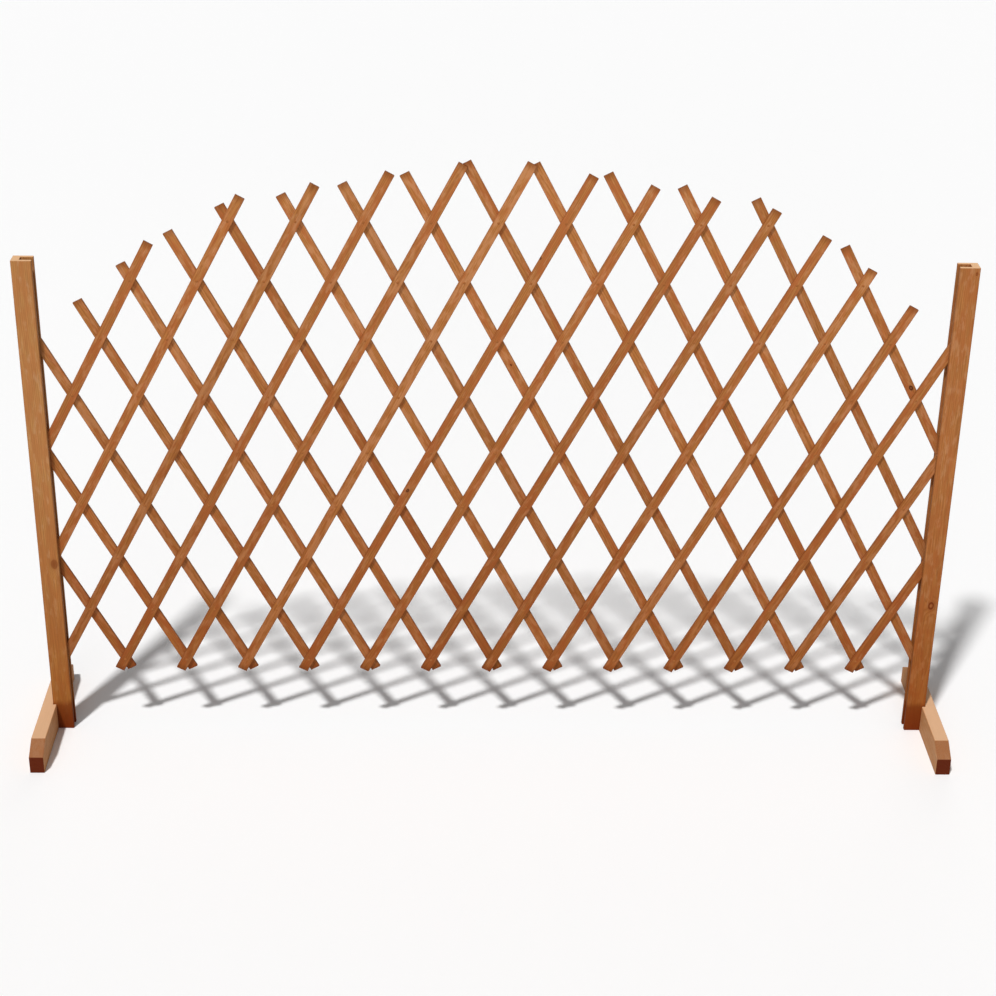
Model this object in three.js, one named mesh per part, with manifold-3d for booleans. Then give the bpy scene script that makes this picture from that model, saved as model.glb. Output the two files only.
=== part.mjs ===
// Expanding trellis fence panel on two grooved posts with cross feet. Millimetres, +Z up.
// X runs along the fence, Y runs through it with the front at -Y, and the feet stand on Z = 0.
// The slats form a scissor lattice: every front slat leans right, every back slat leans left,
// and a clinched nail joins each crossing, so the whole panel folds sideways between its posts.
import * as THREE from 'three';
import { mergeVertices } from 'three/addons/utils/BufferGeometryUtils.js';
import Module from 'manifold-3d';

const wasm = await Module();
wasm.setup();

// Lattice
const nailPitch = 130; // from nail to nail along a slat
const leanDegrees = 28; // of a slat from the vertical, as the panel stands open
const cells = 14; // diamonds between the two grooves
const slatWidth = 19;
const slatThickness = 5.5;
const layerGap = 0.3; // between the front slats and the back slats
const bottomRowHeight = 157; // of the lowest row of nails above the floor
const stubLength = 25.5; // of a slat's free end below the lowest row
const grooveStub = 8; // of a slat end past its nail inside a groove

// How far up each slat of a family reaches, in nail pitches above the lowest row, from the one
// that starts highest up its groove to the last one that ends free. They draw the arched crown,
// and the two families are sawn alike.
const crownShares = [7.63, 8.4, 8.6, 8.8, 8.95, 8.97, 8.78, 8.61, 8.42, 8.24, 7.8, 7.26, 6.63];
const firstSlat = -2; // index of the first slat of a family, counted from the one on the pivot
const slatsPerFamily = 16;

// Clinched nails
const nailRadius = 1.2;
const nailHeadRadius = 2.4;
const nailHeadHeight = 0.6;
const nailSides = 6;
const holeSides = 6;
const runningGap = 0.3; // round everything that turns in a hole, and under a clinched end

// Posts
const postHeight = 1000;
const postWidth = 38;
const postDepth = 30;
const postArris = 1.2;
const grooveDepth = 23;
const grooveInset = 10; // of the end nails from the mouth of the groove
const grooveSideGap = 0.5; // between the nail ends and the groove's walls

// Feet
const footLength = 350;
const footHeight = 57;
const footWidth = 28;
const footSlopeLength = 36;
const footSlopeHeight = 22;
const lapDepth = 7; // how deep the post is let into the side of its foot
const seatGap = 0.3;

// Countersunk wood screws
const screwRadius = 2;
const screwHeadRadius = 4;
const screwHeadDepth = 2.6;
const screwTipLength = 4;
const screwSides = 12;
const pivotScrewBite = 5; // of the pivot screw in the front wall of a groove
const footScrewBite = 11; // of a foot screw in the web of a post
const footScrewHeights = [20, 39];
const footScrewSpacing = 13;
const cutOverrun = 5;

// Worked out from the sizes above
const lean = THREE.MathUtils.degToRad(leanDegrees);
const columnPitch = 2 * nailPitch * Math.sin(lean);
const rowRise = nailPitch * Math.cos(lean);
const frontFace = -layerGap / 2 - slatThickness;
const backFace = layerGap / 2 + slatThickness;
const clinchFace = backFace + runningGap;
const grooveWidth = 2 * (clinchFace + nailHeadHeight + grooveSideGap);
const mouthX = (cells / 2) * columnPitch - grooveInset;
const postOuterX = mouthX + postWidth;
const footInnerX = postOuterX - lapDepth;
const footOuterX = footInnerX + footWidth;

// Finishes
const slatWood = new THREE.MeshStandardMaterial({ color: 0xb0642b, roughness: 0.62, metalness: 0 });
const postWood = new THREE.MeshStandardMaterial({ color: 0xa7622c, roughness: 0.6, metalness: 0 });
const footWood = new THREE.MeshStandardMaterial({ color: 0xb97c48, roughness: 0.65, metalness: 0 });
const zincSteel = new THREE.MeshStandardMaterial({ color: 0xa9a89f, roughness: 0.4, metalness: 1 });

const panel = new THREE.Group();

function place(name, geometry, material, x, y, z, turnY = 0) {
  const mesh = new THREE.Mesh(geometry, material);
  mesh.name = name;
  mesh.position.set(x, y, z);
  mesh.rotation.y = turnY;
  panel.add(mesh);
}

// Solids that are joined or cut
function toSolid(geometry) {
  const bare = geometry.clone();
  bare.deleteAttribute('normal');
  bare.deleteAttribute('uv');
  const merged = mergeVertices(bare);
  const vertProperties = new Float32Array(merged.attributes.position.array);
  const triVerts = new Uint32Array(merged.index.array);
  return new wasm.Manifold(new wasm.Mesh({ numProp: 3, vertProperties, triVerts }));
}

function toGeometry(solid) {
  const mesh = solid.getMesh();
  const geometry = new THREE.BufferGeometry();
  geometry.setAttribute('position', new THREE.BufferAttribute(mesh.vertProperties, 3));
  geometry.setIndex(new THREE.BufferAttribute(mesh.triVerts, 1));
  geometry.computeVertexNormals();
  return geometry;
}

// A round profile turned about the Y axis, given as pairs of radius and place along the axis.
function turned(profile, sides) {
  return new THREE.LatheGeometry(profile.map(([radius, y]) => new THREE.Vector2(radius, y)), sides);
}

// Radius of a polygon's corners whose flats clear a round shank by the running gap.
function holeRadius(shankRadius) {
  return (shankRadius + runningGap) / Math.cos(Math.PI / holeSides);
}

// Columns and rows of the lattice. A front slat n crosses row r at column n + r / 2, and the
// back slats are its mirror image, so back slat b is the mirrored slat cells - b.
function rowHeight(row) {
  return bottomRowHeight + row * rowRise;
}

function columnX(column) {
  return (column - cells / 2) * columnPitch;
}

// Where slat n of a family starts and ends, in rows. The first ones start up the near groove,
// the last ones end in the far groove, and those between run free to the crown.
function slatRows(n) {
  const start = Math.max(0, -2 * n);
  const crown = crownShares[n - firstSlat];
  if (crown === undefined) {
    const end = 2 * (cells - n);
    return { start, end, top: (end - start) * nailPitch + grooveStub, lastNail: end };
  }
  const top = (crown - start) * nailPitch;
  const lastNail = start + Math.floor((top - slatWidth / 2) / nailPitch);
  return { start, end: crown, top, lastNail };
}

// The rows in which front slat n and the back slats both have wood, and so share a nail.
function nailRows(n) {
  const rows = [];
  const own = slatRows(n);
  for (let row = own.start; row <= own.lastNail; row += 1) {
    const mirrored = cells - (n + row);
    if (mirrored < firstSlat || mirrored >= cells) continue;
    const partner = slatRows(mirrored);
    if (row >= partner.start && row <= partner.lastNail) rows.push(row);
  }
  return rows;
}

// A slat with square ends, its first nail at the origin and its length along Z, drilled at the
// given stations. Its outer skin is at y = skin and its thickness runs back from there.
function slatBlank(low, top, stations, boreRadius, skin) {
  const half = slatWidth / 2;
  const outline = new THREE.Shape();
  outline.moveTo(-half, -low);
  outline.lineTo(half, -low);
  outline.lineTo(half, top);
  outline.lineTo(-half, top);
  outline.closePath();
  for (const station of stations) {
    const bore = new THREE.Path();
    bore.absarc(0, station, boreRadius, 0, 2 * Math.PI, true);
    outline.holes.push(bore);
  }
  const options = { depth: slatThickness, bevelEnabled: false, curveSegments: holeSides / 2 };
  const blank = new THREE.ExtrudeGeometry(outline, options);
  blank.rotateX(Math.PI / 2);
  blank.translate(0, skin + slatThickness, 0);
  return blank;
}

// A nail driven from the front: its head proud of the front slat, its shank through the hole in
// the back slat, and its end clinched flat behind it.
function clinchedNail(station) {
  const embedded = frontFace + slatThickness / 2;
  const nail = turned([
    [0, frontFace - nailHeadHeight],
    [nailHeadRadius, frontFace - nailHeadHeight],
    [nailHeadRadius, embedded],
    [nailRadius, embedded],
    [nailRadius, clinchFace],
    [nailHeadRadius, clinchFace],
    [nailHeadRadius, clinchFace + nailHeadHeight],
    [0, clinchFace + nailHeadHeight],
  ], nailSides);
  nail.translate(0, 0, station);
  return nail;
}

// A countersunk screw along +Y with its head flush at y = 0, grown all round by a gap for a hole.
function screwProfile(length, gap) {
  const head = screwHeadRadius + gap;
  const shank = screwRadius + gap;
  return [
    [0, 0],
    [head, 0],
    [shank, screwHeadDepth + gap],
    [shank, length - screwTipLength],
    [0, length + gap],
  ];
}

function screw(length) {
  return turned(screwProfile(length, 0), screwSides);
}

// The hole for a screw, opened past the face that the head is flush with.
function screwHole(length) {
  const [, mouth, ...rest] = screwProfile(length, runningGap);
  return turned([[0, -cutOverrun], [mouth[0], -cutOverrun], mouth, ...rest], screwSides);
}

function addFrontSlat(n) {
  const { start, top } = slatRows(n);
  const low = n <= 0 ? grooveStub : stubLength;
  const rows = nailRows(n);
  const stationOf = (row) => (row - start) * nailPitch;
  const pivotBores = n === 0 ? [0] : [];
  let solid = toSolid(slatBlank(low, top, pivotBores, holeRadius(screwRadius), frontFace));
  for (const row of rows) solid = solid.add(toSolid(clinchedNail(stationOf(row))));
  const name = `front_slat_${String(n - firstSlat + 1).padStart(2, '0')}`;
  place(name, toGeometry(solid), slatWood, columnX(n + start / 2), 0, rowHeight(start), lean);
}

function addBackSlat(b) {
  const n = cells - b;
  const { start, top, lastNail } = slatRows(n);
  const low = n <= 0 ? grooveStub : stubLength;
  const stations = [];
  for (let row = start; row <= lastNail; row += 1) {
    const shared = nailRows(b - row).includes(row);
    if (shared) stations.push((row - start) * nailPitch);
  }
  let blank = slatBlank(low, top, stations, holeRadius(nailRadius), backFace - slatThickness);
  if (n === 0) {
    const bore = turned([
      [0, frontFace],
      [holeRadius(screwRadius), frontFace],
      [holeRadius(screwRadius), backFace + cutOverrun],
      [0, backFace + cutOverrun],
    ], holeSides);
    blank = toGeometry(toSolid(blank).subtract(toSolid(bore)));
  }
  const name = `back_slat_${String(b).padStart(2, '0')}`;
  place(name, blank, slatWood, columnX(b - start / 2), 0, rowHeight(start), -lean);
}

for (let i = 0; i < slatsPerFamily; i += 1) addFrontSlat(firstSlat + i);
for (let b = 1; b <= slatsPerFamily; b += 1) addBackSlat(b);

// The posts: a square section with rounded-off arrises and a groove facing the lattice. The
// section is drawn outwards from the lattice, and side is -1 on the left and 1 on the right.
function postSection(side) {
  const halfDepth = postDepth / 2;
  const halfGroove = grooveWidth / 2;
  const web = mouthX + grooveDepth;
  const points = [
    [mouthX, -halfDepth + postArris],
    [mouthX + postArris, -halfDepth],
    [postOuterX - postArris, -halfDepth],
    [postOuterX, -halfDepth + postArris],
    [postOuterX, halfDepth - postArris],
    [postOuterX - postArris, halfDepth],
    [mouthX + postArris, halfDepth],
    [mouthX, halfDepth - postArris],
    [mouthX, halfGroove],
    [web, halfGroove],
    [web, -halfGroove],
    [mouthX, -halfGroove],
  ];
  return new THREE.Shape(points.map(([x, y]) => new THREE.Vector2(side * x, y)));
}

const pivotX = (cells / 2) * columnPitch;
const pivotScrewLength = (postDepth + grooveWidth) / 2 + pivotScrewBite;
const footScrewLength = footWidth - lapDepth + seatGap + footScrewBite;

// The pivot screw enters from the back of the post, through the groove and the end of the slat.
function pivotTurned(geometry) {
  geometry.rotateX(Math.PI);
  geometry.translate(0, postDepth / 2, bottomRowHeight);
  return geometry;
}

// A foot screw enters from the outer side of the foot, towards the middle of the fence.
function footScrewTurned(geometry, side, station) {
  geometry.rotateZ(side * Math.PI / 2);
  geometry.translate(side * footOuterX, station.y, station.z);
  return geometry;
}

const footScrewStations = footScrewHeights.map((z, i) => ({
  y: (i - (footScrewHeights.length - 1) / 2) * footScrewSpacing,
  z,
}));

function addPost(side, word) {
  const options = { depth: postHeight, bevelEnabled: false };
  let solid = toSolid(new THREE.ExtrudeGeometry(postSection(side), options));
  const pivotHole = pivotTurned(screwHole(pivotScrewLength));
  pivotHole.translate(side * pivotX, 0, 0);
  solid = solid.subtract(toSolid(pivotHole));
  for (const station of footScrewStations) {
    solid = solid.subtract(toSolid(footScrewTurned(screwHole(footScrewLength), side, station)));
  }
  place(`${word}_post`, toGeometry(solid), postWood, 0, 0, 0);
  place(`${word}_pivot_screw`, pivotTurned(screw(pivotScrewLength)), zincSteel, side * pivotX, 0, 0);
}

// A foot: a bar across the fence with its two ends sloped off above, housed for its post.
function addFoot(side, word) {
  const half = footLength / 2;
  const flat = half - footSlopeLength;
  const nose = footHeight - footSlopeHeight;
  const profile = new THREE.Shape([
    new THREE.Vector2(-half, 0),
    new THREE.Vector2(half, 0),
    new THREE.Vector2(half, nose),
    new THREE.Vector2(flat, footHeight),
    new THREE.Vector2(-flat, footHeight),
    new THREE.Vector2(-half, nose),
  ]);
  const bar = new THREE.ExtrudeGeometry(profile, { depth: footWidth, bevelEnabled: false });
  const axes = [new THREE.Vector3(0, 1, 0), new THREE.Vector3(0, 0, 1), new THREE.Vector3(1, 0, 0)];
  bar.applyMatrix4(new THREE.Matrix4().makeBasis(...axes));
  bar.translate(side < 0 ? -footOuterX : footInnerX, 0, 0);

  const depth = lapDepth + seatGap + cutOverrun;
  const housing = new THREE.BoxGeometry(depth, postDepth + 2 * seatGap, footHeight + 2 * cutOverrun);
  housing.translate(side * (footInnerX - cutOverrun + depth / 2), 0, footHeight / 2);
  let solid = toSolid(bar).subtract(toSolid(housing));
  footScrewStations.forEach((station, i) => {
    const hole = footScrewTurned(screwHole(footScrewLength), side, station);
    solid = solid.subtract(toSolid(hole));
    const fastener = footScrewTurned(screw(footScrewLength), side, station);
    place(`${word}_foot_screw_${i + 1}`, fastener, zincSteel, 0, 0, 0);
  });
  place(`${word}_foot`, toGeometry(solid), footWood, 0, 0, 0);
}

for (const [side, word] of [[-1, 'left'], [1, 'right']]) {
  addPost(side, word);
  addFoot(side, word);
}

export default panel;
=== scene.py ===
"""Expanding trellis fence panel: the finish of its wood and fixings, its floor, lights and camera.

Lengths are metres unless a name ends in _mm. X runs along the fence, Y from its front to its
back, Z up.
"""

import logging
import math
import random
from dataclasses import dataclass, replace
from enum import Enum
from typing import Any

import bmesh
import bpy
from mathutils import Matrix, Vector


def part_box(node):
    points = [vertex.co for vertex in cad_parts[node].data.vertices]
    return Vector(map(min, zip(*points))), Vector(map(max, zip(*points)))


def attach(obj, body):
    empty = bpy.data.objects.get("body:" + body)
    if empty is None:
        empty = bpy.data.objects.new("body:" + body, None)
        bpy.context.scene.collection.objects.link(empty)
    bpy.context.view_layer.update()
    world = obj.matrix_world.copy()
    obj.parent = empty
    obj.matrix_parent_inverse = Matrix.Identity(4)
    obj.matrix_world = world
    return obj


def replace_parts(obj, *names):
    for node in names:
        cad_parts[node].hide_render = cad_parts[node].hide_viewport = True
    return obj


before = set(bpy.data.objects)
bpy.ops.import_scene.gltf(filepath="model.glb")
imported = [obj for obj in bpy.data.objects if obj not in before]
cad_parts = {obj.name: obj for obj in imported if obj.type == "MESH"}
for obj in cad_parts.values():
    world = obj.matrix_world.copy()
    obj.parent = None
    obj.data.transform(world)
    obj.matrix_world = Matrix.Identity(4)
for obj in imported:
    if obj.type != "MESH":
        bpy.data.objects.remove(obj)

Tree = bpy.types.NodeTree
Socket = bpy.types.NodeSocket
Shape = bmesh.types.BMesh
Corner = bmesh.types.BMVert
Edge = bmesh.types.BMEdge
Colour = tuple[float, float, float, float]

MM = 0.001
LEAN = math.radians(28)
MERGE = 0.01 * MM  # corners nearer than this are one
log = logging.getLogger("trellis")


class Slot(Enum):
    """Names for four finishes; nothing in the script uses them."""

    SLATS = "stained_slats"
    POSTS = "stained_posts"
    FEET = "stained_feet"
    SCREWS = "zinc_screws"


class Lean(Enum):
    """Which way a slat leans: right in the front layer, left in the back layer."""

    RIGHT = 1
    LEFT = -1


class Side(Enum):
    """The two ends of the fence."""

    LEFT = -1
    RIGHT = 1

    @property
    def word(self) -> str:
        """Return the word that its pieces' names start with."""
        return self.name.lower()


def colour(code: str) -> Colour:
    """Turn an sRGB hex code into linear light.

    Args:
        code: Six hex digits after a hash sign.

    Returns:
        Red, green, blue and full opacity.
    """
    parts = [int(code[i : i + 2], 16) / 255 for i in (1, 3, 5)]
    red, green, blue = (p / 12.92 if p <= 0.04045 else ((p + 0.055) / 1.055) ** 2.4 for p in parts)
    return red, green, blue, 1.0


def add_node(
    tree: Tree, kind: str, inputs: dict[Any, Any] | None = None, **settings: Any
) -> bpy.types.Node:
    """Add one shader node with its settings and links.

    Args:
        tree: The node tree that the node goes into.
        kind: The node's type without its ShaderNode prefix.
        inputs: For each input socket, by name or number, a value or the output that feeds it.
        settings: The node's own properties.

    Returns:
        The new node.
    """
    node = tree.nodes.new("ShaderNode" + kind)
    for name, value in settings.items():
        setattr(node, name, value)
    for key, value in (inputs or {}).items():
        if isinstance(value, Socket):
            tree.links.new(value, node.inputs[key])
        else:
            node.inputs[key].default_value = value
    return node


def blend(
    tree: Tree, base: Socket, code: str, level: Socket, span: tuple[float, float], share: float
) -> Socket:
    """Blend a colour in smoothly where a level passes through a span.

    Args:
        tree: The node tree.
        base: The colour so far.
        code: The colour that is blended in.
        level: What decides where.
        span: The levels at which it begins to show and at which it shows fully.
        share: How far it covers what was there at most.

    Returns:
        The colour.
    """
    levels = {"Value": level, "From Min": span[0], "From Max": span[1], "To Max": share}
    amount = add_node(tree, "MapRange", levels, interpolation_type="SMOOTHSTEP")
    tint = {"Factor": amount.outputs[0], "A": base, "B": colour(code)}
    return add_node(tree, "Mix", tint, data_type="RGBA").outputs["Result"]


def new_material(name: str) -> tuple[bpy.types.Material, Tree]:
    """Make a material with an empty node tree.

    Args:
        name: The material's name.

    Returns:
        The material and its node tree.
    """
    material = bpy.data.materials.new(name)
    material.use_nodes = True
    material.node_tree.nodes.clear()
    return material, material.node_tree


def store(mesh: Shape, name: str) -> bpy.types.Mesh:
    """Keep a shape under a name and free the bmesh that it was modelled in.

    Args:
        mesh: The shape.
        name: The new mesh's name.

    Returns:
        The new mesh.
    """
    data = bpy.data.meshes.new(name)
    mesh.to_mesh(data)
    mesh.free()
    return data


def place_object(name: str, data: bpy.types.ID) -> bpy.types.Object:
    """Put a mesh, a lamp or a camera in the scene.

    Args:
        name: The object's name.
        data: What it shows.

    Returns:
        The new object, at the origin.
    """
    placed = bpy.data.objects.new(name, data)
    bpy.context.scene.collection.objects.link(placed)
    return placed


def make_piece(
    mesh: Shape, name: str, body: str, finish: bpy.types.Material
) -> bpy.types.Object:
    """Turn a bmesh into a piece that rides on a body.

    Args:
        mesh: The shape, in its place. It is freed.
        name: The piece's name.
        body: The body that it moves with.
        finish: Its material.

    Returns:
        The new object.
    """
    data = store(mesh, name)
    data.materials.append(finish)
    piece = place_object(name, data)
    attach(piece, body)
    log.info("%s: %d faces on %s", name, len(data.polygons), body)
    return piece


def shade_smooth(piece: bpy.types.Object, arris: float) -> None:
    """Shade a turned piece smooth, but for the arrises that turn by more than an angle."""
    piece.data.shade_smooth()
    piece.data.set_sharp_from_angle(angle=arris)


def ease(mesh: Shape, edges: list[Edge], offset: float, clamp: bool = False) -> None:
    """Take the sharpness off edges, with two facets each.

    Args:
        mesh: The shape.
        edges: Its edges to be eased.
        offset: How far from an edge its facets begin.
        clamp: Whether they stop short where two edges' facets would overlap.
    """
    bmesh.ops.bevel(
        mesh,
        geom=edges,
        offset=offset,
        segments=2,
        profile=0.5,
        affect="EDGES",
        clamp_overlap=clamp,
        material=-1,
    )


@dataclass(frozen=True)
class Knot:
    """A knot in the front face of a piece, placed from the middle of the piece, in mm."""

    across: float
    along: float
    radius: float
    depth: float = 30.0  # how far in it reaches, which is right through a slat
    stretch: float = 1.5  # how much longer it is than wide
    reach: float = 4.0  # the grain bends round it within this many radii
    push: float = 1.6  # and by this many radii at most


@dataclass(frozen=True)
class Cut:
    """How a piece of wood lies: its middle, the turn from Z to its grain, and its half sizes."""

    centre: Vector
    turn: tuple[float, float, float]
    half: Vector
    knots: tuple[Knot, ...] = ()

    def grain(self) -> Vector:
        """Return the direction of the grain."""
        turned = Matrix.Rotation(self.turn[1], 3, "Y") @ Matrix.Rotation(self.turn[0], 3, "X")
        return turned @ Vector((0, 0, 1))


@dataclass(frozen=True)
class Streaks:
    """Noise drawn out along the grain: how wide and how long a streak is."""

    width_mm: float
    length_mm: float
    detail: float  # how many finer layers it has
    rough: float = 0.6  # and how strong they are


@dataclass(frozen=True)
class Patches:
    """Where a tint shows: the noise levels at which it begins and is full, and its share."""

    start: float
    full: float
    share: float


@dataclass(frozen=True)
class StainedSoftwood:
    """Spruce under a thin orange-brown stain that leaves its figure showing.

    Pale early wood drinks more of the stain than the hard late wood of each ring, and cut ends
    drink most, so the eye sees soft stripes along a piece and deeper colour on its ends.
    """

    name: str
    early: str  # soft wood between the rings
    late: str  # hard line of each ring
    rust: str  # where the stain dried redder
    dry: str  # where the stain is thin and the wood shows through, paler and pinker
    end: str  # cut ends
    top_highlight: str = "#DDB084"  # painted highlight: up-facing faces painted paler, as if lit from the sky
    top_highlight_share: float = 0.0  # how far they are painted paler
    top_highlight_from: float = 0.9  # from this much of straight up
    top_highlight_full: float = 0.99  # and fully at this much
    painted_low_shade: str = "#D6C3AF"  # painted shade: multiplied in near the ground, as if less light reached it
    painted_low_shade_from: float = 1.1  # height above the floor at which that begins
    painted_low_shade_full: float = 0.1  # and at which it is complete
    ring_mm: float = 2.6  # from one ring to the next
    figure: float = 0.6  # how strongly the rings show
    # Ranges for where the log's pith lies beside, behind and along a piece, and how far out of
    # line with it, in degrees.
    pith_mm: tuple[tuple[float, float], ...] = ((4, 30), (12, 45), (-900, 900))
    askew: float = 1.1
    wobble_mm: float = 9.0  # how far the rings stray from true circles
    wobble: Streaks = Streaks(33.3, 200.0, 2.0, 0.5)
    fibre: Streaks = Streaks(1.11, 62.5, 4.0)  # bundles of fibres, coarse enough to show
    cloud: Streaks = Streaks(11.8, 50.0, 2.5)  # redder clouds, as a brush leaves them
    thin: Streaks = Streaks(8.33, 29.4, 3.0)  # patches where the coat is thin
    rusty: Patches = Patches(0.38, 0.66, 0.8)
    dried: Patches = Patches(0.46, 0.66, 0.6)
    fibre_levels: tuple[float, float] = (0.3, 0.7)  # noise levels of the deepest and palest fibres
    fibre_shades: tuple[float, float] = (0.82, 1.16)  # their brightness
    fibre_rough: tuple[float, float] = (0.58, 0.74)  # and their roughness, half matt
    late_rise: float = 0.35  # how far late wood stands up, against fibres
    relief: float = 0.35  # how strongly light catches them both
    relief_mm: float = 0.25
    edge_mm: float = 2.0  # stain gathers this far in from an arris
    edge_share: float = 0.3
    wick_mm: float = 16.0  # and this far in from a cut end
    wick_share: float = 0.5
    end_from: float = 0.35  # a face shows end grain from this much of the grain's direction
    end_full: float = 0.95  # and nothing but end grain from this much
    end_rings: float = 0.25  # how far late wood stays pale on an end
    dark_post_foot: str = "#6D2A06"  # darker red-brown at the foot of a post
    dark_post_foot_mm: float = 0.0  # up to this height
    foot_mark_wander_mm: float = 24.0  # how far its upper mark wanders
    knot: str = "#4A1E08"  # hard brown wood of a knot
    knot_heart: float = 0.6  # how strongly its middle shows
    knot_rim: float = 0.95  # and the rim round it
    knot_halo: float = 0.2  # and, against the rim, what lies just outside
    gloss: float = 0.08
    hue_spread: float = 0.07  # how much redder or paler one piece may be than the next

    def material(self, cut: Cut, seed: int, tone: float = 1.0) -> bpy.types.Material:
        """Make the finish of one piece.

        Args:
            cut: Where the piece lies and how its grain runs.
            seed: Chooses where in the log the piece was sawn.
            tone: Brightness of this piece against its neighbours.

        Returns:
            The material.
        """
        material, tree = new_material(f"{self.name}_{seed:02d}")
        chance = random.Random(seed)
        point = add_node(tree, "TexCoord")
        place = {
            "Vector": point.outputs["Object"],
            "Location": cut.centre,
            "Rotation": cut.turn,
            "Scale": (MM, MM, MM),
        }
        piece = add_node(tree, "Mapping", place, vector_type="TEXTURE").outputs[0]
        swirl, away = self._knots(tree, piece, cut)
        late, trunk = self._rings(tree, piece, swirl, chance)
        fibre = self._noise(tree, trunk, self.fibre)
        cloud = self._noise(tree, trunk, self.cloud)
        thin = self._noise(tree, trunk, self.thin)
        hue = chance.uniform(-self.hue_spread, self.hue_spread)
        base = self._side_colour(tree, late, fibre, (cloud, thin), (tone, hue))
        base = self._edges(tree, piece, base, cut)
        if away is not None:
            base = self._knot_colour(tree, base, away)
        base = self._cut_ends(tree, point, base, late, cut)
        base = self._heights(tree, point, base, cloud)
        self._surface(tree, base, late, fibre)
        return material

    def _rings(
        self, tree: Tree, piece: Socket, swirl: Socket | float, chance: random.Random
    ) -> tuple[Socket, Socket]:
        """Draw growth rings round a pith that lies beside the piece, slightly out of line with it.

        Args:
            tree: The node tree.
            piece: Place in the piece, in mm from its middle.
            swirl: How far the grain swings aside round knots, in mm.
            chance: Chooses where in the log the piece was sawn.

        Returns:
            How much late wood there is, from 0 to 1, and the place in the log in mm.
        """
        side = chance.choice((-1, 1))
        beside, behind, along = (chance.uniform(*span) for span in self.pith_mm)
        tilt = [math.radians(chance.uniform(-self.askew, self.askew)) for _ in range(2)]
        lie = {"Vector": piece, "Location": (side * beside, behind, along), "Rotation": (*tilt, 0)}
        trunk = add_node(tree, "Mapping", lie).outputs[0]
        stray = self._noise(tree, trunk, self.wobble)
        flat = add_node(tree, "VectorMath", {0: trunk, 1: (1, 1, 0)}, operation="MULTIPLY")
        radius = add_node(tree, "VectorMath", {0: flat.outputs[0]}, operation="LENGTH")
        strayed = {0: stray, 1: self.wobble_mm, 2: radius.outputs["Value"]}
        bent = add_node(tree, "Math", strayed, operation="MULTIPLY_ADD")
        drawn = add_node(tree, "Math", {0: bent.outputs[0], 1: swirl}, operation="ADD")
        count = add_node(tree, "Math", {0: drawn.outputs[0], 1: self.ring_mm}, operation="DIVIDE")
        phase = add_node(tree, "Math", {0: count.outputs[0]}, operation="FRACT")
        ramp = add_node(tree, "ValToRGB", {"Fac": phase.outputs[0]})
        # The colour deepens slowly through a summer and stops short at winter.
        self._set_ramp(ramp, ((0.0, 0.0), (0.4, 0.12), (0.78, 0.8), (0.9, 1.0), (1.0, 0.0)))
        return ramp.outputs["Color"], trunk

    @staticmethod
    def _set_ramp(ramp: bpy.types.Node, stops: tuple[tuple[float, float], ...]) -> None:
        """Give a colour ramp its grey stops.

        Args:
            ramp: The colour ramp's node.
            stops: The place and the value of each stop, in order.
        """
        elements = ramp.color_ramp.elements
        while len(elements) < len(stops):
            elements.new(0.5)
        for element, (place, value) in zip(elements, stops):
            element.position = place
            element.color = (value, value, value, 1)

    @staticmethod
    def _noise(tree: Tree, trunk: Socket, streaks: Streaks) -> Socket:
        """Draw streaks along the grain.

        Args:
            tree: The node tree.
            trunk: Place in the log, in mm.
            streaks: Their size and their finer layers.

        Returns:
            A level from 0 to 1.
        """
        per_mm = (1 / streaks.width_mm, 1 / streaks.width_mm, 1 / streaks.length_mm)
        stretched = add_node(tree, "Mapping", {"Vector": trunk, "Scale": per_mm})
        noise = {
            "Vector": stretched.outputs[0],
            "Scale": 1.0,
            "Detail": streaks.detail,
            "Roughness": streaks.rough,
        }
        return add_node(tree, "TexNoise", noise).outputs["Fac"]

    def _side_colour(
        self,
        tree: Tree,
        late: Socket,
        fibre: Socket,
        noises: tuple[Socket, Socket],
        cast: tuple[float, float],
    ) -> Socket:
        """Colour the long faces: rings, then redder and thinner clouds of stain, then fine fibres.

        Args:
            tree: The node tree.
            late: How much late wood there is.
            fibre: The fine streaks.
            noises: What tells where the stain dried redder, and where it is thin.
            cast: This piece's brightness, and its shift towards red.

        Returns:
            The colour.
        """
        cloud, thin = noises
        tone, hue = cast
        amount = add_node(tree, "Math", {0: late, 1: self.figure}, operation="MULTIPLY")
        wood = {"Factor": amount.outputs[0], "A": colour(self.early), "B": colour(self.late)}
        base = add_node(tree, "Mix", wood, data_type="RGBA").outputs["Result"]
        for noise, shift, patches, code in (
            (cloud, -hue, self.rusty, self.rust),
            (thin, hue, self.dried, self.dry),
        ):
            span = (patches.start + shift, patches.full + shift)
            base = blend(tree, base, code, noise, span, patches.share)
        shades = {
            "Value": fibre,
            "From Min": self.fibre_levels[0],
            "From Max": self.fibre_levels[1],
            "To Min": self.fibre_shades[0] * tone,
            "To Max": self.fibre_shades[1] * tone,
        }
        shade = add_node(tree, "MapRange", shades).outputs[0]
        shaded = add_node(tree, "VectorMath", {0: base, "Scale": shade}, operation="SCALE")
        return shaded.outputs[0]

    def _edges(self, tree: Tree, piece: Socket, base: Socket, cut: Cut) -> Socket:
        """Deepen the colour along the two long edges and next to the cut ends, where stain gathers.

        Args:
            tree: The node tree.
            piece: Place in the piece, in mm from its middle.
            base: The colour so far.
            cut: The piece's half sizes.

        Returns:
            The colour.
        """
        parts = add_node(tree, "SeparateXYZ", {"Vector": piece})
        for axis, half, reach_mm, share in (
            ("X", cut.half.x, self.edge_mm, self.edge_share),
            ("Z", cut.half.z, self.wick_mm, self.wick_share),
        ):
            offset = add_node(tree, "Math", {0: parts.outputs[axis]}, operation="ABSOLUTE")
            span = (half / MM - reach_mm, half / MM)
            base = blend(tree, base, self.end, offset.outputs[0], span, share)
        return base

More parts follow.
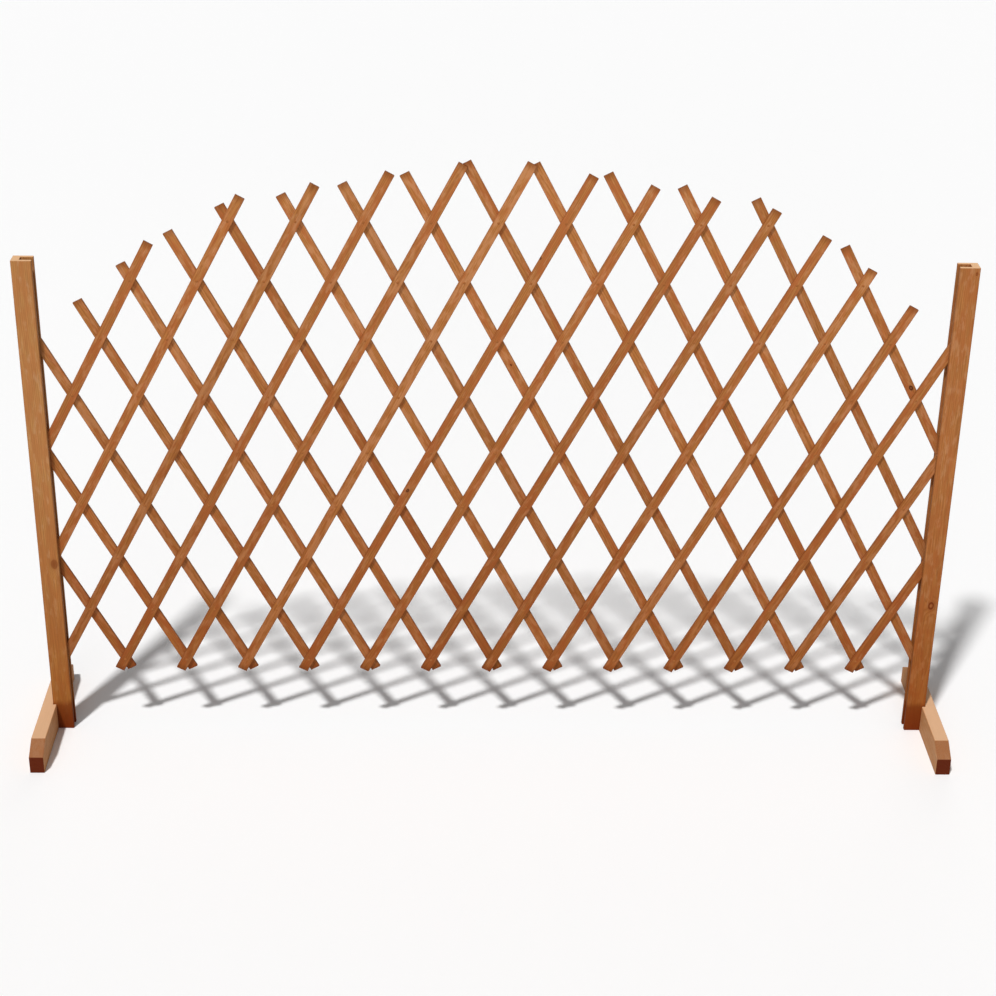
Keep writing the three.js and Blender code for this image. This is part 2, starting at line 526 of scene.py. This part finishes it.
    def _cut_ends(
        self, tree: Tree, point: bpy.types.Node, base: Socket, late: Socket, cut: Cut
    ) -> Socket:
        """Colour the faces that cut across the grain, by how squarely they cut it.

        Args:
            tree: The node tree.
            point: The node that gives the surface's place and direction.
            base: The colour so far.
            late: How much late wood there is.
            cut: How the grain runs.

        Returns:
            The colour.
        """
        pair = {0: point.outputs["Normal"], 1: cut.grain()}
        along = add_node(tree, "VectorMath", pair, operation="DOT_PRODUCT")
        facing = add_node(tree, "Math", {0: along.outputs["Value"]}, operation="ABSOLUTE")
        levels = {"Value": facing.outputs[0], "From Min": self.end_from, "From Max": self.end_full}
        amount = add_node(tree, "MapRange", levels)
        # Late wood takes less of the stain, so an end shows its rings as paler arcs.
        ringed = add_node(tree, "Math", {0: late, 1: self.end_rings}, operation="MULTIPLY")
        arcs = {"Factor": ringed.outputs[0], "A": colour(self.end), "B": colour(self.early)}
        ends = add_node(tree, "Mix", arcs, data_type="RGBA")
        tint = {"Factor": amount.outputs[0], "A": base, "B": ends.outputs["Result"]}
        return add_node(tree, "Mix", tint, data_type="RGBA").outputs["Result"]

    def _heights(self, tree: Tree, point: bpy.types.Node, base: Socket, cloud: Socket) -> Socket:
        """Paint light on what looks up, paint shade towards the ground and darken a post's foot.

        Args:
            tree: The node tree.
            point: The node that gives the surface's place and direction.
            base: The colour so far.
            cloud: Noise that makes the upper mark of a post's darker foot wander.

        Returns:
            The colour.
        """
        # Painted highlight: faces that look up are painted paler, as if lit from above.
        if self.top_highlight_share:
            up = add_node(tree, "SeparateXYZ", {"Vector": point.outputs["Normal"]}).outputs["Z"]
            span = (self.top_highlight_from, self.top_highlight_full)
            base = blend(tree, base, self.top_highlight, up, span, self.top_highlight_share)
        # Painted shade: the colour darkens towards the ground.
        height = add_node(tree, "SeparateXYZ", {"Vector": point.outputs["Object"]}).outputs["Z"]
        levels = {"Value": height, "From Min": self.painted_low_shade_from, "From Max": self.painted_low_shade_full}
        low = add_node(tree, "MapRange", levels)
        tint = {"Factor": low.outputs[0], "A": base, "B": colour(self.painted_low_shade)}
        low_shaded = add_node(tree, "Mix", tint, data_type="RGBA", blend_type="MULTIPLY")
        if not self.dark_post_foot_mm:
            return low_shaded.outputs["Result"]
        # A post's foot is darker red-brown up to a wandering mark.
        wander = {0: cloud, 1: self.foot_mark_wander_mm * MM, 2: height}
        ragged = add_node(tree, "Math", wander, operation="MULTIPLY_ADD")
        # The ramp spans twice the darkened height: darkest at the ground, still well darkened just
        # below the mark, and gone soon above it.
        darkened_span = {0: ragged.outputs[0], 1: 2 * self.dark_post_foot_mm * MM}
        share = add_node(tree, "Math", darkened_span, operation="DIVIDE")
        foot_darkening = add_node(tree, "ValToRGB", {"Fac": share.outputs[0]})
        self._set_ramp(foot_darkening, ((0.1, 1.0), (0.45, 0.75), (0.55, 0.65), (0.64, 0.0)))
        tint = {"Factor": foot_darkening.outputs["Color"], "A": low_shaded.outputs["Result"], "B": colour(self.dark_post_foot)}
        return add_node(tree, "Mix", tint, data_type="RGBA").outputs["Result"]

    @staticmethod
    def _knots(tree: Tree, piece: Socket, cut: Cut) -> tuple[Socket | float, Socket | None]:
        """Find how far each place is from the nearest knot.

        Args:
            tree: The node tree.
            piece: Place in the piece, in mm from its middle.
            cut: The piece's knots and half sizes.

        Returns:
            How far the grain swings aside in mm, and the distance to the knot in knot radii.
        """
        nearest: Socket | None = None
        swirl: Socket | float = 0.0
        for knot in cut.knots:
            place = {
                "Vector": piece,
                "Location": (knot.across, -cut.half.y / MM, knot.along),
                "Scale": (knot.radius, knot.depth, knot.stretch * knot.radius),
            }
            shifted = add_node(tree, "Mapping", place, vector_type="TEXTURE").outputs[0]
            length = add_node(tree, "VectorMath", {0: shifted}, operation="LENGTH")
            away = length.outputs["Value"]
            levels = {
                "Value": away,
                "From Min": knot.reach,
                "From Max": 0.0,
                "To Max": knot.push * knot.radius,
            }
            pull = add_node(tree, "MapRange", levels, interpolation_type="SMOOTHSTEP")
            total = add_node(tree, "Math", {0: pull.outputs[0], 1: swirl}, operation="ADD")
            swirl = total.outputs[0]
            if nearest is not None:
                nearer = add_node(tree, "Math", {0: nearest, 1: away}, operation="MINIMUM")
                away = nearer.outputs[0]
            nearest = away
        return swirl, nearest

    def _knot_colour(self, tree: Tree, base: Socket, away: Socket) -> Socket:
        """Darken each knot: a small heart, a broad rim up to its radius, and a faint halo.

        Args:
            tree: The node tree.
            base: The colour so far.
            away: Distance to the nearest knot, in knot radii.

        Returns:
            The colour.
        """
        # The ramp spans two radii.
        share = add_node(tree, "Math", {0: away, 1: 2.0}, operation="DIVIDE")
        ramp = add_node(tree, "ValToRGB", {"Fac": share.outputs[0]})
        heart, rim = self.knot_heart, self.knot_rim
        halo = self.knot_halo * rim
        stops = ((0.0, heart), (0.15, heart), (0.38, rim), (0.5, rim), (0.65, halo), (1.0, 0.0))
        self._set_ramp(ramp, stops)
        tint = {"Factor": ramp.outputs["Color"], "A": base, "B": colour(self.knot)}
        return add_node(tree, "Mix", tint, data_type="RGBA").outputs["Result"]

    def _surface(self, tree: Tree, base: Socket, late: Socket, fibre: Socket) -> None:
        """Finish the surface: a half-matt stain that dries rougher on raised fibres.

        Args:
            tree: The node tree.
            base: The finished colour.
            late: How much late wood there is.
            fibre: The fine streaks.
        """
        raised = {0: late, 1: self.late_rise, 2: fibre}
        height = add_node(tree, "Math", raised, operation="MULTIPLY_ADD").outputs[0]
        relief = {"Strength": self.relief, "Distance": self.relief_mm * MM, "Height": height}
        levels = {
            "Value": fibre,
            "From Min": self.fibre_levels[0],
            "From Max": self.fibre_levels[1],
            "To Min": self.fibre_rough[0],
            "To Max": self.fibre_rough[1],
        }
        coat = {
            "Base Color": base,
            "Roughness": add_node(tree, "MapRange", levels).outputs[0],
            "Specular IOR Level": self.gloss,
            "Normal": add_node(tree, "Bump", relief).outputs[0],
        }
        shader = add_node(tree, "BsdfPrincipled", coat)
        add_node(tree, "OutputMaterial", {"Surface": shader.outputs[0]})


@dataclass(frozen=True)
class Steel:
    """Drawn steel wire or rod, under zinc or under the stain it was dipped in with the wood.

    Bare zinc gives a soft grey gleam, a little mottled. Stained heads look like dull brown spots
    that nearly vanish against the wood.
    """

    name: str
    tint: str
    shadow: str  # the deeper spots of the mottle
    metallic: float
    rough: float
    gloss: float = 0.5
    smoother: float = 0.08  # how much the paler spots differ in roughness
    rougher: float = 0.12  # and the deeper ones
    spots_per_mm: float = 1.1
    detail: float = 3.0
    relief: float = 0.2
    relief_mm: float = 0.1

    def material(self) -> bpy.types.Material:
        """Make the finish.

        Returns:
            The material.
        """
        material, tree = new_material(self.name)
        place = add_node(tree, "TexCoord").outputs["Object"]
        spots = {"Vector": place, "Scale": self.spots_per_mm / MM, "Detail": self.detail}
        noise = add_node(tree, "TexNoise", spots).outputs["Fac"]
        tints = {"Factor": noise, "A": colour(self.tint), "B": colour(self.shadow)}
        levels = {
            "Value": noise,
            "To Min": self.rough - self.smoother,
            "To Max": self.rough + self.rougher,
        }
        relief = {"Strength": self.relief, "Distance": self.relief_mm * MM, "Height": noise}
        coat = {
            "Base Color": add_node(tree, "Mix", tints, data_type="RGBA").outputs["Result"],
            "Metallic": self.metallic,
            "Roughness": add_node(tree, "MapRange", levels).outputs[0],
            "Specular IOR Level": self.gloss,
            "Normal": add_node(tree, "Bump", relief).outputs[0],
        }
        shader = add_node(tree, "BsdfPrincipled", coat)
        add_node(tree, "OutputMaterial", {"Surface": shader.outputs[0]})
        return material


SLAT_WOOD = StainedSoftwood(
    name="stained_spruce_slat",
    early="#B37640",
    late="#8B4E22",
    rust="#AD6335",
    dry="#C58A5E",
    end="#6E3613",
)
POST_WOOD = StainedSoftwood(
    name="stained_spruce_post",
    early="#AD713E",
    late="#8B5225",
    rust="#A66234",
    dry="#B88258",
    end="#7A3E16",
    top_highlight_share=1.0,
    painted_low_shade="#DDC49E",
    painted_low_shade_from=0.6,
    painted_low_shade_full=0.05,
    wick_share=0.0,
    ring_mm=3.4,
    edge_share=0.2,
    end_from=0.6,
    dark_post_foot_mm=60.0,
    knot="#743410",
    knot_heart=0.0,
    knot_rim=0.95,
)
PALE_POST_WOOD = replace(
    POST_WOOD,
    name="stained_spruce_pale_post",
    early="#B5804B",
    late="#956233",
    rust="#AD7040",
    dry="#BE8F65",
    knot_heart=0.65,
    knot_rim=0.58,
)
FOOT_WOOD = StainedSoftwood(
    name="stained_spruce_foot",
    early="#D69B67",
    late="#BC7D4A",
    rust="#CE9464",
    dry="#D9A476",
    end="#541500",
    top_highlight="#D7AD88",
    top_highlight_share=0.85,
    painted_low_shade="#FFFFFF",
    wick_share=0.0,
    ring_mm=3.0,
    edge_share=0.15,
    end_from=0.1,
    end_full=0.77,
    end_rings=0.07,
)
STAINED_STEEL = Steel("stained_wire_nail", "#AA6836", "#90562A", 0.0, 0.62, 0.1)
ZINC = Steel("zinc_plated_steel", "#BDBDB6", "#96968F", 1.0, 0.34)


@dataclass
class Slat:
    """One slat of the lattice, and where its middle and ends lie."""

    node: str
    lean: Lean
    centre: Vector
    half: Vector
    knots: tuple[Knot, ...] = ()
    ease_mm: float = 0.6
    end_slant_mm: float = 0.35  # how far out of square the saw may have left an end
    tone_spread: float = 0.07  # how much paler or deeper it may be than the others

    @classmethod
    def read(cls, node: str, lean: Lean, thickness: tuple[float, float]) -> "Slat":
        """Measure a slat on its solid.

        Args:
            node: The solid's name.
            lean: The way that it leans.
            thickness: Where its front and back faces lie along Y.

        Returns:
            The slat with its middle and half sizes.
        """
        upright = Matrix.Rotation(-lean.value * LEAN, 3, "Y")
        points = [upright @ vertex.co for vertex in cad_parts[node].data.vertices]
        across = [point.x for point in points]
        along = [point.z for point in points]
        low = Vector((min(across), thickness[0], min(along)))
        high = Vector((max(across), thickness[1], max(along)))
        return cls(node, lean, upright.inverted() @ ((low + high) / 2), (high - low) / 2)

    @property
    def angle(self) -> float:
        """Return the turn about Y that lays an upright slat in its place."""
        return self.lean.value * LEAN

    @property
    def run(self) -> Vector:
        """Return the direction of the slat, upwards."""
        return Vector((math.sin(self.angle), 0, math.cos(self.angle)))

    def station(self, point: Vector) -> float:
        """Return how far along the slat a point lies from its middle."""
        return (point - self.centre).dot(self.run)

    def offset(self, point: Vector) -> float:
        """Return how far a point lies to the right of the slat's middle line."""
        return (point - self.centre).dot(Vector((self.run.z, 0, -self.run.x)))

    def mark(self, point: Vector, radius_mm: float) -> None:
        """Put a knot in the slat's wide faces at a point."""
        knot = Knot(self.offset(point) / MM, self.station(point) / MM, radius_mm)
        self.knots += (knot,)

    def matrix(self) -> Matrix:
        """Return what takes the slat's own frame to its place."""
        return Matrix.Translation(self.centre) @ Matrix.Rotation(self.angle, 4, "Y")

    def build(self, seed: int) -> None:
        """Model the slat with eased arrises and ends that the saw left a little out of square.

        Args:
            seed: Chooses its ends, its tone and its place in the log.
        """
        chance = random.Random(seed)
        bar = bmesh.new()
        bmesh.ops.create_cube(bar, size=2, matrix=Matrix.Diagonal((*self.half, 1)))
        for end in (-1, 1):
            slant = abs(chance.uniform(-1, 1)) * self.end_slant_mm * MM
            for vertex in bar.verts:
                if vertex.co.z * end > 0 and vertex.co.x > 0:
                    vertex.co.z -= end * slant
        ease(bar, bar.edges[:], self.ease_mm * MM)
        bmesh.ops.transform(bar, matrix=self.matrix(), verts=bar.verts)
        cut = Cut(self.centre, (0, self.angle, 0), self.half, self.knots)
        tone = 1 + chance.uniform(-self.tone_spread, self.tone_spread)
        finish = SLAT_WOOD.material(cut, seed, tone)
        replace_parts(make_piece(bar, self.node + "_wood", self.node, finish), self.node)


@dataclass
class ClinchedNail:
    """A wire nail with a low domed head, driven from the front and bent over flat behind."""

    head_radius: float = 2.4 * MM
    shank_radius: float = 1.2 * MM
    front: float = -5.65 * MM  # where the front slat's face lies along Y
    proud: float = 0.6 * MM  # how far its head stands out
    # The head's outline from its top: shares of its radius, and of the height it stands proud.
    dome: tuple[tuple[float, float], ...] = ((0.0, 0.0), (0.55, 0.06), (0.88, 0.4), (1.0, 0.85))
    clinch_face: float = 5.95 * MM  # where the bent point lies along Y
    clinch_thickness: float = 0.6 * MM
    clinch_length: float = 5.0 * MM
    clinch_width: float = 2.64 * MM  # hammered wider than the wire
    clinch_ease: float = 0.168 * MM
    tip_share: float = 0.35  # width of the blunt tip, against the clinched wire's
    sides: int = 12

    def model(self) -> bpy.types.Mesh:
        """Model one nail, driven along Y at the origin and clinched along Z.

        Returns:
            The nail.
        """
        nail = bmesh.new()
        self._add_head(nail)
        self._add_clinch(nail)
        return store(nail, "nail")

    def _add_head(self, nail: Shape) -> None:
        """Turn the head and the part of the shank that stands in the slats.

        Args:
            nail: The shape that it is added to.
        """
        top = self.front - self.proud
        seat = self.front + self.proud
        outline = [(share * self.head_radius, top + drop * self.proud) for share, drop in self.dome]
        outline += [
            (self.head_radius, seat),
            (self.shank_radius, seat),
            (self.shank_radius, self.clinch_face),
            (0.0, self.clinch_face),
        ]
        verts = [nail.verts.new((radius, y, 0)) for radius, y in outline]
        edges = [nail.edges.new(pair) for pair in zip(verts, verts[1:])]
        bmesh.ops.spin(
            nail,
            geom=verts + edges,
            cent=(0, 0, 0),
            axis=(0, 1, 0),
            angle=2 * math.pi,
            steps=self.sides,
            use_merge=True,
        )
        bmesh.ops.remove_doubles(nail, verts=nail.verts, dist=MERGE)
        bmesh.ops.recalc_face_normals(nail, faces=nail.faces)

    def _add_clinch(self, nail: Shape) -> None:
        """Lay the bent point flat on the back slat, hammered wide and drawn to a blunt tip.

        Args:
            nail: The shape that it is added to.
        """
        length = self.clinch_length + self.shank_radius
        middle = self.clinch_face + self.clinch_thickness / 2
        place = Matrix.Translation((0, middle, length / 2 - self.shank_radius))
        size = Matrix.Diagonal((self.clinch_width, self.clinch_thickness, length, 1))
        corners = bmesh.ops.create_cube(nail, size=1, matrix=place @ size)["verts"]
        for corner in corners:
            if corner.co.z > 0:
                corner.co.x *= self.tip_share
        ease(nail, list({e for corner in corners for e in corner.link_edges}), self.clinch_ease)


@dataclass
class Lattice:
    """The two layers of slats and the nails at their crossings."""

    per_family: int = 16
    front_faces: tuple[float, float] = (-5.65 * MM, -0.15 * MM)
    back_faces: tuple[float, float] = (0.15 * MM, 5.65 * MM)
    nail_margin: float = 7.5 * MM  # a crossing nearer than this to a slat's end has no nail
    nail_arris: float = math.radians(40)
    # Layer, place along the fence and height in metres, radius in mm.
    knots: tuple[tuple[Lean, float, float, float], ...] = (
        (Lean.LEFT, 0.7824, 0.755, 3.2),
        (Lean.LEFT, 0.0274, 0.7967, 1.3),
        (Lean.RIGHT, 0.0774, 1.0093, 1.4),
        (Lean.RIGHT, -0.1667, 0.5365, 2.3),
    )

    def build(self) -> None:
        """Build every slat, then the nails of each front slat."""
        front = self._family("front_slat_", Lean.RIGHT, self.front_faces)
        back = self._family("back_slat_", Lean.LEFT, self.back_faces)
        for lean, along, height, radius in self.knots:
            point = Vector((along, 0, height))
            layer = front if lean is Lean.RIGHT else back
            min(layer, key=lambda slat: abs(slat.offset(point))).mark(point, radius)
        for number, slat in enumerate(front + back):
            slat.build(number)
        finish = STAINED_STEEL.material()
        for slat in front:
            self._nail(slat, back, finish)

    def _nail(self, slat: Slat, others: list[Slat], finish: bpy.types.Material) -> None:
        """Nail a front slat to every back slat that it crosses.

        Args:
            slat: The front slat, which the nails ride on.
            others: The back slats.
            finish: The nails' material.
        """
        nails = bmesh.new()
        for point in self._crossings(slat, others):
            nail = ClinchedNail().model()
            nail.transform(Matrix.Translation(point) @ Matrix.Rotation(slat.angle, 4, "Y"))
            nails.from_mesh(nail)
            bpy.data.meshes.remove(nail)
        piece = make_piece(nails, slat.node + "_nails", slat.node, finish)
        shade_smooth(piece, self.nail_arris)

    def _family(self, stem: str, lean: Lean, faces: tuple[float, float]) -> list[Slat]:
        """Read all the slats of one layer."""
        names = [f"{stem}{number:02d}" for number in range(1, self.per_family + 1)]
        return [Slat.read(name, lean, faces) for name in names]

    def _crossings(self, slat: Slat, others: list[Slat]) -> list[Vector]:
        """List the points where a front slat crosses a back slat with wood on both sides.

        Args:
            slat: The front slat.
            others: The back slats.

        Returns:
            The points, half way between the two layers.
        """
        points = []
        for other in others:
            gap = other.centre - slat.centre
            turn = slat.run.x * other.run.z - slat.run.z * other.run.x
            reach = (gap.x * other.run.z - gap.z * other.run.x) / turn
            point = slat.centre + slat.run * reach
            point.y = 0
            if all(abs(s.station(point)) < s.half.z - self.nail_margin for s in (slat, other)):
                points.append(point)
        return points


@dataclass
class EasedSolid:
    """A sawn and planed piece: its solid with the sharp arrises taken off."""

    node: str
    ease_mm: float
    shortest_mm: float = 6.0  # edges shorter than this are rims of screw holes, and stay sharp
    flat: float = math.radians(1)  # faces that meet at less than this are one
    sharp: float = math.radians(20)  # edges that turn by more than this are arrises

    def mesh(self) -> Shape:
        """Copy the solid, join its triangles into faces and ease its long edges.

        Returns:
            The eased shape.
        """
        copy = bmesh.new()
        copy.from_mesh(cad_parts[self.node].data)
        bmesh.ops.remove_doubles(copy, verts=copy.verts, dist=MERGE)
        bmesh.ops.dissolve_limit(copy, angle_limit=self.flat, verts=copy.verts, edges=copy.edges)
        ease(copy, [e for e in copy.edges if self._is_arris(e)], self.ease_mm * MM, clamp=True)
        return copy

    def _is_arris(self, edge: Edge) -> bool:
        """Tell whether an edge is long, stands out and is sharp."""
        long = edge.calc_length() > self.shortest_mm * MM
        return long and edge.is_convex and edge.calc_face_angle(0.0) > self.sharp


@dataclass
class Post:
    """A grooved post, planed, with one knot in the left one's front and two in the right one's."""

    side: Side
    ease_mm: float = 0.5
    # Side, place along the fence and height in metres, radius and depth in mm.
    knots: tuple[tuple[Side, float, float, float, float], ...] = (
        (Side.LEFT, -0.8535, 0.377, 6.0, 7.0),
        (Side.RIGHT, 0.8682, 0.292, 5.0, 7.0),
        (Side.RIGHT, 0.8759, 0.989, 1.8, 4.0),
    )

    def build(self, seed: int) -> None:
        """Build the post.

        Args:
            seed: Chooses its place in the log.
        """
        node = self.side.word + "_post"
        low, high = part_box(node)
        centre = (low + high) / 2
        knots = tuple(
            Knot((along - centre.x) / MM, (height - centre.z) / MM, radius, depth)
            for side, along, height, radius, depth in self.knots
            if side is self.side
        )
        cut = Cut(centre, (0, 0, 0), (high - low) / 2, knots)
        wood = PALE_POST_WOOD if self.side is Side.LEFT else POST_WOOD
        finish = wood.material(cut, seed)
        solid = EasedSolid(node, self.ease_mm).mesh()
        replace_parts(make_piece(solid, node + "_wood", node, finish), node)


@dataclass
class Foot:
    """A foot across the fence, its two ends sloped off above."""

    side: Side
    ease_mm: float = 0.9

    def build(self, seed: int) -> None:
        """Build the foot.

        Args:
            seed: Chooses its place in the log.
        """
        node = self.side.word + "_foot"
        body = self.side.word + "_post"
        low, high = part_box(node)
        half = (high - low) / 2
        across = (math.radians(-90), 0, 0)
        cut = Cut((low + high) / 2, across, Vector((half.x, half.z, half.y)))
        finish = FOOT_WOOD.material(cut, seed)
        solid = EasedSolid(node, self.ease_mm).mesh()
        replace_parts(make_piece(solid, node + "_wood", body, finish), node)


@dataclass
class CrossScrew:
    """A countersunk wood screw with a cross recess."""

    node: str
    body: str
    axis: Vector  # from the head to the point
    rim: float = 0.25 * MM  # straight edge of the head
    shank_share: float = 0.5  # the shank's radius, and the cone's and the point's lengths,
    cone_share: float = 0.65  # against the head's radius
    point_share: float = 2.0
    tip_share: float = 0.02  # radius of the very tip, against the shank's
    recess_half: float = 2.1 * MM
    recess_arm: float = 0.55 * MM
    recess_depth: float = 1.5 * MM
    recess_taper: float = 0.6
    sides: int = 24
    arris: float = math.radians(35)

    def build(self, finish: bpy.types.Material) -> None:
        """Model the screw in the place of its solid.

        Args:
            finish: Its material.
        """
        low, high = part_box(self.node)
        span = high - low
        length = max(span)
        head = (low + high) / 2 - self.axis * length / 2
        mesh = self._turned(min(span) / 2, length)
        turn = self.axis.to_track_quat("Z", "Y").to_matrix().to_4x4()
        bmesh.ops.transform(mesh, matrix=Matrix.Translation(head) @ turn, verts=mesh.verts)
        piece = make_piece(mesh, self.node + "_steel", self.body, finish)
        shade_smooth(piece, self.arris)
        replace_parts(piece, self.node)

    def _turned(self, radius: float, length: float) -> Shape:
        """Model the screw along Z with its head at the origin.

        Args:
            radius: Radius of the head.
            length: From the head's face to the point.

        Returns:
            The closed shape.
        """
        mesh = bmesh.new()
        rim = bmesh.ops.create_circle(mesh, segments=self.sides, radius=radius)["verts"]
        self._recess(mesh, rim)
        ring = list({e for v in rim for e in v.link_edges if e.other_vert(v) in rim})
        cone = self.cone_share * radius
        point = self.point_share * radius
        for share, rise in (
            (1.0, self.rim),
            (self.shank_share, cone),
            (1.0, length - point - cone),
            (self.tip_share, point - self.rim),
        ):
            verts, ring = self._extrude(mesh, ring)
            bmesh.ops.translate(mesh, verts=verts, vec=(0, 0, rise))
            bmesh.ops.scale(mesh, verts=verts, vec=(share, share, 1))
        bmesh.ops.contextual_create(mesh, geom=ring)
        bmesh.ops.recalc_face_normals(mesh, faces=mesh.faces)
        return mesh

    @staticmethod
    def _extrude(mesh: Shape, loop: list[Edge]) -> tuple[list[Corner], list[Edge]]:
        """Raise a wall from a loop of edges.

        Args:
            mesh: The shape.
            loop: The closed loop of edges.

        Returns:
            The corners and the edges of the wall's new rim.
        """
        made = bmesh.ops.extrude_edge_only(mesh, edges=loop)["geom"]
        verts = [part for part in made if isinstance(part, Corner)]
        edges = [part for part in made if isinstance(part, Edge)]
        return verts, [edge for edge in edges if all(vert in verts for vert in edge.verts)]

    def _recess(self, mesh: Shape, rim: list[Corner]) -> None:
        """Sink a cross into the face of the head and join it to the rim.

        Args:
            mesh: The shape, with nothing but the rim's circle yet.
            rim: The circle's corners.
        """
        reach, arm = self.recess_half, self.recess_arm
        quarter = ((reach, -arm), (reach, arm), (arm, arm))
        corners = []
        for step in range(4):
            turn = Matrix.Rotation(step * math.pi / 2, 2)
            corners += [turn @ Vector(corner) for corner in quarter]
        verts = [mesh.verts.new((corner.x, corner.y, 0)) for corner in corners]
        loop = [mesh.edges.new(pair) for pair in zip(verts, verts[1:] + verts[:1])]
        outer = list({e for v in rim for e in v.link_edges})
        bmesh.ops.bridge_loops(mesh, edges=outer + loop)
        sunk, floor = self._extrude(mesh, loop)
        bmesh.ops.translate(mesh, verts=sunk, vec=(0, 0, self.recess_depth))
        bmesh.ops.scale(mesh, verts=sunk, vec=(self.recess_taper, self.recess_taper, 1))
        bmesh.ops.contextual_create(mesh, geom=floor)


@dataclass
class EndAssembly:
    """One end of the fence: its post, its foot and their three screws."""

    side: Side

    def build(self, seed: int) -> None:
        """Build the pieces of this end.

        Args:
            seed: Chooses the post's place in the log, and the next number the foot's.
        """
        Post(self.side).build(seed)
        Foot(self.side).build(seed + 1)
        word = self.side.word
        body = word + "_post"
        finish = ZINC.material()
        inwards = Vector((-self.side.value, 0, 0))
        for number in (1, 2):
            CrossScrew(f"{word}_foot_screw_{number}", body, inwards).build(finish)
        CrossScrew(word + "_pivot_screw", body, Vector((0, -1, 0))).build(finish)


@dataclass
class Studio:
    """The floor, the lights and the camera."""

    floor_half: float = 30.0
    floor_drop: float = 0.2 * MM  # below the feet, so that the two faces don't fight
    floor_seen: str = "#F9F9F9"
    floor_bounce: str = "#CFCFCF"
    backdrop: str = "#FBFBFB"  # the level of the lit floor, so that no horizon shows
    sky_fill: float = 0.2
    # Name, power, height above the floor, bearing from the front and spread, in degrees.
    lamps: tuple[tuple[str, float, float, float, float], ...] = (
        ("key", 2.7, 60.0, 26.0, 4.2),
        ("front_fill", 0.77, 10.0, 5.0, 30.0),
        ("back_fill", 0.6, 10.0, 190.0, 30.0),
    )
    lamp_distance: float = 3.0  # only moves them out of the way: they shine alike from anywhere
    # The camera that was fitted to the photograph, with its turns in degrees.
    eye_mm: tuple[float, float, float] = (-81.23, -3514.93, 2281.28)
    look_down: float = 26.624
    look_right: float = 1.44
    tilt: float = 0.936
    focal_px: float = 2039.68
    image_px: float = 996.0
    sensor_mm: float = 36.0

    def build(self) -> None:
        """Set up the floor, the lights, the camera and the view settings."""
        self._floor()
        self._sky()
        for lamp in self.lamps:
            self._lamp(*lamp)
        self._camera()
        bpy.context.scene.view_settings.view_transform = "Standard"

    @staticmethod
    def _by_ray(tree: Tree, unseen: Colour, seen: Colour) -> Socket:
        """Give one colour to the rays that only light the fence, and another to all that show.

        Args:
            tree: The node tree.
            unseen: The colour that lights the fence.
            seen: The colour to the eye, in gloss and through glass.

        Returns:
            The colour.
        """
        path = add_node(tree, "LightPath")
        first = {0: path.outputs["Is Camera Ray"], 1: path.outputs["Is Glossy Ray"]}
        pair = add_node(tree, "Math", first, operation="MAXIMUM")
        second = {0: pair.outputs[0], 1: path.outputs["Is Transmission Ray"]}
        shown = add_node(tree, "Math", second, operation="MAXIMUM")
        tints = {"Factor": shown.outputs[0], "A": unseen, "B": seen}
        return add_node(tree, "Mix", tints, data_type="RGBA").outputs["Result"]

    def _floor(self) -> None:
        """Lay a matt pale floor that looks white and throws less light back than it shows."""
        sheet = bmesh.new()
        bmesh.ops.create_grid(sheet, x_segments=1, y_segments=1, size=self.floor_half)
        bmesh.ops.translate(sheet, verts=sheet.verts, vec=(0, 0, -self.floor_drop))
        floor = place_object("floor", store(sheet, "floor"))
        material, tree = new_material("matt_white_floor")
        tint = self._by_ray(tree, colour(self.floor_bounce), colour(self.floor_seen))
        shader = add_node(tree, "BsdfDiffuse", {"Color": tint})
        add_node(tree, "OutputMaterial", {"Surface": shader.outputs[0]})
        floor.data.materials.append(material)

    def _sky(self) -> None:
        """Surround the scene with the floor's own white, which lights the fence at less."""
        world = bpy.data.worlds.new("studio_sky")
        bpy.context.scene.world = world
        world.use_nodes = True
        tree = world.node_tree
        tree.nodes.clear()
        fill = (self.sky_fill, self.sky_fill, self.sky_fill, 1.0)
        tint = self._by_ray(tree, fill, colour(self.backdrop))
        sky = add_node(tree, "Background", {"Color": tint, "Strength": 1.0})
        add_node(tree, "OutputWorld", {"Surface": sky.outputs[0]})

    def _lamp(self, name: str, power: float, height: float, bearing: float, spread: float) -> None:
        """Hang a distant lamp, which lights the whole floor evenly.

        Args:
            name: The lamp's name.
            power: Light on a surface square to its beam, in watts per square metre.
            height: Degrees above the floor.
            bearing: Degrees that its beam turns right from straight through the fence's front.
            spread: Width of the lamp as the fence sees it, in degrees; wider is softer.
        """
        light = bpy.data.lights.new(name, "SUN")
        light.energy = power
        light.angle = math.radians(spread)
        lamp = place_object(name, light)
        rise, turn = math.radians(height), math.radians(bearing)
        level = math.cos(rise)
        beam = Vector((math.sin(turn) * level, math.cos(turn) * level, -math.sin(rise)))
        lamp.rotation_mode = "QUATERNION"
        lamp.rotation_quaternion = beam.to_track_quat("-Z", "Y")
        lamp.location = -self.lamp_distance * beam

    def _camera(self) -> None:
        """Stand the camera in front of the fence, above it, as the photograph was taken."""
        lens = bpy.data.cameras.new("camera")
        lens.sensor_width = self.sensor_mm
        lens.lens = self.focal_px / self.image_px * self.sensor_mm
        camera = place_object("camera", lens)
        aim = (
            Matrix.Rotation(math.radians(-self.look_right), 4, "Z")
            @ Matrix.Rotation(math.radians(90 - self.look_down), 4, "X")
            @ Matrix.Rotation(math.radians(self.tilt), 4, "Z")
        )
        camera.matrix_world = Matrix.Translation(Vector(self.eye_mm) * MM) @ aim
        bpy.context.scene.camera = camera


def main() -> None:
    """Build the whole fence and its studio."""
    logging.basicConfig(level=logging.INFO, format="%(message)s")
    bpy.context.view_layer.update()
    Studio().build()
    Lattice().build()
    for seed, side in ((60, Side.LEFT), (70, Side.RIGHT)):
        EndAssembly(side).build(seed)


if __name__ == "__main__":
    main()
